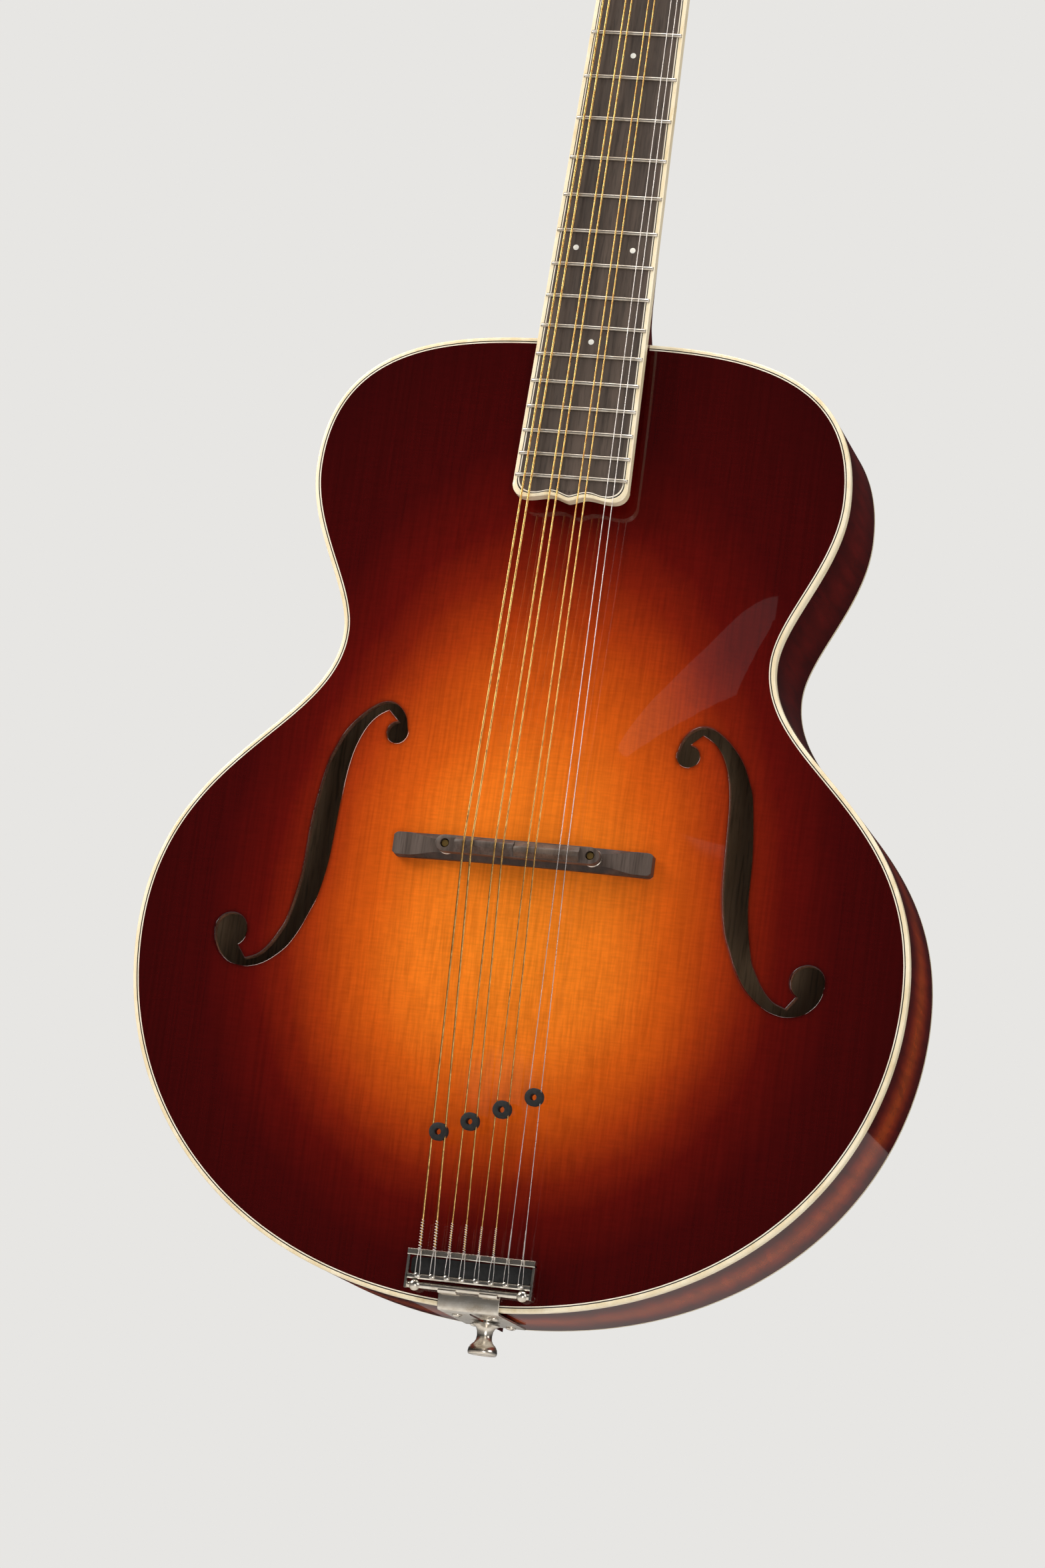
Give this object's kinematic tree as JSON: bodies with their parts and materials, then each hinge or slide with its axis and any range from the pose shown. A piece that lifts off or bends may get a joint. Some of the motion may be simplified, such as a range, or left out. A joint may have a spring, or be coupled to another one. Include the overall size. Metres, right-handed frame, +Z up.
{
  "type": "archtop bouzouki",
  "caption": "Archtop octave bouzouki with carved sunburst top, sound holes, floating bridge, paired strings, geared tuners and a hinged tailpiece.",
  "frame": {"origin": "middle of the nut's front edge across the strings, level with the edge of the top plate; the instrument hangs upright from its headstock", "axes": "+Z runs up the neck to the headstock, the top plate faces -Y, +X is the treble side"},
  "size_m": [0.406, 0.1269, 1.0588],
  "materials": {
    "sunburst_spruce": "glossy sunburst lacquer",
    "dark_lacquered_wood": "glossy dark red-brown lacquer",
    "ivory_plastic": "ivory binding, polished",
    "bare_mahogany": "bare",
    "bare_spruce": "bare",
    "ebony": "oiled, satin",
    "bone": "polished bone",
    "nickel": "polished nickel plate",
    "brass": "turned brass",
    "bronze_wound": "phosphor bronze winding",
    "steel": "plain steel wire",
    "rubber": "matte black rubber"
  },
  "bodies": {
    "instrument": {"top_plate": "sunburst_spruce", "back_plate": "dark_lacquered_wood", "top_binding": "ivory_plastic", "back_binding": "ivory_plastic", "neck_block": "bare_mahogany", "tail_block": "bare_mahogany", "rim_bass": "dark_lacquered_wood", "top_lining_bass": "bare_spruce", "tone_bar_bass": "bare_spruce", "rim_treble": "dark_lacquered_wood", "top_lining_treble": "bare_spruce", "tone_bar_treble": "bare_spruce", "neck": "dark_lacquered_wood", "heel_cap": "ivory_plastic", "truss_rod": "steel", "fingerboard": "ebony", "fingerboard_binding": "ivory_plastic", "nut": "bone", "headstock_veneer": "ebony", "truss_rod_cover": "ebony", "bridge_base": "ebony", "bridge_post_bass": "brass", "bridge_post_treble": "brass", "tailpiece_frame": "nickel", "tailpiece_pad": "rubber", "tail_bracket": "nickel", "end_pin": "nickel", "string_1": "bronze_wound", "string_2": "bronze_wound", "string_3": "bronze_wound", "string_4": "bronze_wound", "string_5": "bronze_wound", "string_6": "bronze_wound", "string_7": "steel", "string_8": "steel", "tuner_plate_bass": "nickel", "tuner_plate_treble": "nickel"},
    "post_bass_1": {"tuner_post_bass_1": "brass"},
    "button_bass_1": {"tuner_button_bass_1": "nickel"},
    "post_bass_2": {"tuner_post_bass_2": "brass"},
    "button_bass_2": {"tuner_button_bass_2": "nickel"},
    "post_bass_3": {"tuner_post_bass_3": "brass"},
    "button_bass_3": {"tuner_button_bass_3": "nickel"},
    "post_bass_4": {"tuner_post_bass_4": "brass"},
    "button_bass_4": {"tuner_button_bass_4": "nickel"},
    "post_treble_1": {"tuner_post_treble_1": "brass"},
    "button_treble_1": {"tuner_button_treble_1": "nickel"},
    "post_treble_2": {"tuner_post_treble_2": "brass"},
    "button_treble_2": {"tuner_button_treble_2": "nickel"},
    "post_treble_3": {"tuner_post_treble_3": "brass"},
    "button_treble_3": {"tuner_button_treble_3": "nickel"},
    "post_treble_4": {"tuner_post_treble_4": "brass"},
    "button_treble_4": {"tuner_button_treble_4": "nickel"},
    "saddle": {"saddle": "ebony"},
    "thumbwheel_bass": {"thumbwheel_bass": "nickel"},
    "thumbwheel_treble": {"thumbwheel_treble": "nickel"},
    "grommet_1": {"grommet_1": "rubber"},
    "grommet_2": {"grommet_2": "rubber"},
    "grommet_3": {"grommet_3": "rubber"},
    "grommet_4": {"grommet_4": "rubber"}
  },
  "joints": [
    {"name": "button_turn_bass_1", "type": "hinge", "parent": "instrument", "child": "button_bass_1", "pos_m": [-0.053, 0.03838, 0.04693], "axis": [1, 0, 0], "continuous": true},
    {"name": "post_turn_bass_1", "type": "hinge", "parent": "instrument", "child": "post_bass_1", "pos_m": [-0.025, 0.03654, 0.04038], "axis": [0, -0.9625, 0.2713], "continuous": true},
    {"name": "button_turn_bass_2", "type": "hinge", "parent": "instrument", "child": "button_bass_2", "pos_m": [-0.053, 0.04571, 0.07291], "axis": [1, 0, 0], "continuous": true},
    {"name": "post_turn_bass_2", "type": "hinge", "parent": "instrument", "child": "post_bass_2", "pos_m": [-0.025, 0.04386, 0.06637], "axis": [0, -0.9625, 0.2713], "continuous": true},
    {"name": "button_turn_bass_3", "type": "hinge", "parent": "instrument", "child": "button_bass_3", "pos_m": [-0.053, 0.05303, 0.0989], "axis": [1, 0, 0], "continuous": true},
    {"name": "post_turn_bass_3", "type": "hinge", "parent": "instrument", "child": "post_bass_3", "pos_m": [-0.025, 0.05119, 0.09236], "axis": [0, -0.9625, 0.2713], "continuous": true},
    {"name": "button_turn_bass_4", "type": "hinge", "parent": "instrument", "child": "button_bass_4", "pos_m": [-0.053, 0.06035, 0.12489], "axis": [1, 0, 0], "continuous": true},
    {"name": "post_turn_bass_4", "type": "hinge", "parent": "instrument", "child": "post_bass_4", "pos_m": [-0.025, 0.05851, 0.11834], "axis": [0, -0.9625, 0.2713], "continuous": true},
    {"name": "button_turn_treble_1", "type": "hinge", "parent": "instrument", "child": "button_treble_1", "pos_m": [0.053, 0.03838, 0.04693], "axis": [1, 0, 0], "continuous": true},
    {"name": "post_turn_treble_1", "type": "hinge", "parent": "instrument", "child": "post_treble_1", "pos_m": [0.025, 0.03654, 0.04038], "axis": [0, -0.9625, 0.2713], "continuous": true},
    {"name": "button_turn_treble_2", "type": "hinge", "parent": "instrument", "child": "button_treble_2", "pos_m": [0.053, 0.04571, 0.07291], "axis": [1, 0, 0], "continuous": true},
    {"name": "post_turn_treble_2", "type": "hinge", "parent": "instrument", "child": "post_treble_2", "pos_m": [0.025, 0.04386, 0.06637], "axis": [0, -0.9625, 0.2713], "continuous": true},
    {"name": "button_turn_treble_3", "type": "hinge", "parent": "instrument", "child": "button_treble_3", "pos_m": [0.053, 0.05303, 0.0989], "axis": [1, 0, 0], "continuous": true},
    {"name": "post_turn_treble_3", "type": "hinge", "parent": "instrument", "child": "post_treble_3", "pos_m": [0.025, 0.05119, 0.09236], "axis": [0, -0.9625, 0.2713], "continuous": true},
    {"name": "button_turn_treble_4", "type": "hinge", "parent": "instrument", "child": "button_treble_4", "pos_m": [0.053, 0.06035, 0.12489], "axis": [1, 0, 0], "continuous": true},
    {"name": "post_turn_treble_4", "type": "hinge", "parent": "instrument", "child": "post_treble_4", "pos_m": [0.025, 0.05851, 0.11834], "axis": [0, -0.9625, 0.2713], "continuous": true},
    {"name": "saddle_lift", "type": "slide", "parent": "instrument", "child": "saddle", "axis": [0, -1, 0], "range_m": [-0.0014, 0]},
    {"name": "thumbwheel_turn_bass", "type": "hinge", "parent": "saddle", "child": "thumbwheel_bass", "pos_m": [-0.038, -0.02015, -0.628], "axis": [0, -1, 0], "range_deg": [-721, 0]},
    {"name": "thumbwheel_turn_treble", "type": "hinge", "parent": "saddle", "child": "thumbwheel_treble", "pos_m": [0.038, -0.02015, -0.628], "axis": [0, -1, 0], "range_deg": [-721, 0]},
    {"name": "grommet_slide_1", "type": "slide", "parent": "instrument", "child": "grommet_1", "axis": [0.0097, 0.108, -0.9941], "range_m": [0, 0.012]},
    {"name": "grommet_slide_2", "type": "slide", "parent": "instrument", "child": "grommet_2", "axis": [0.0041, 0.108, -0.9941], "range_m": [0, 0.012]},
    {"name": "grommet_slide_3", "type": "slide", "parent": "instrument", "child": "grommet_3", "axis": [-0.0041, 0.108, -0.9941], "range_m": [0, 0.012]},
    {"name": "grommet_slide_4", "type": "slide", "parent": "instrument", "child": "grommet_4", "axis": [-0.0097, 0.108, -0.9941], "range_m": [0, 0.012]}
  ],
  "couplings": [
    {"joint": "post_turn_bass_1", "follows": "button_turn_bass_1", "ratio": 0.066667},
    {"joint": "post_turn_bass_2", "follows": "button_turn_bass_2", "ratio": 0.066667},
    {"joint": "post_turn_bass_3", "follows": "button_turn_bass_3", "ratio": 0.066667},
    {"joint": "post_turn_bass_4", "follows": "button_turn_bass_4", "ratio": 0.066667},
    {"joint": "post_turn_treble_1", "follows": "button_turn_treble_1", "ratio": 0.066667},
    {"joint": "post_turn_treble_2", "follows": "button_turn_treble_2", "ratio": 0.066667},
    {"joint": "post_turn_treble_3", "follows": "button_turn_treble_3", "ratio": 0.066667},
    {"joint": "post_turn_treble_4", "follows": "button_turn_treble_4", "ratio": 0.066667},
    {"joint": "thumbwheel_turn_bass", "follows": "saddle_lift", "rad_per_m": 8976},
    {"joint": "thumbwheel_turn_treble", "follows": "saddle_lift", "rad_per_m": 8976}
  ]
}
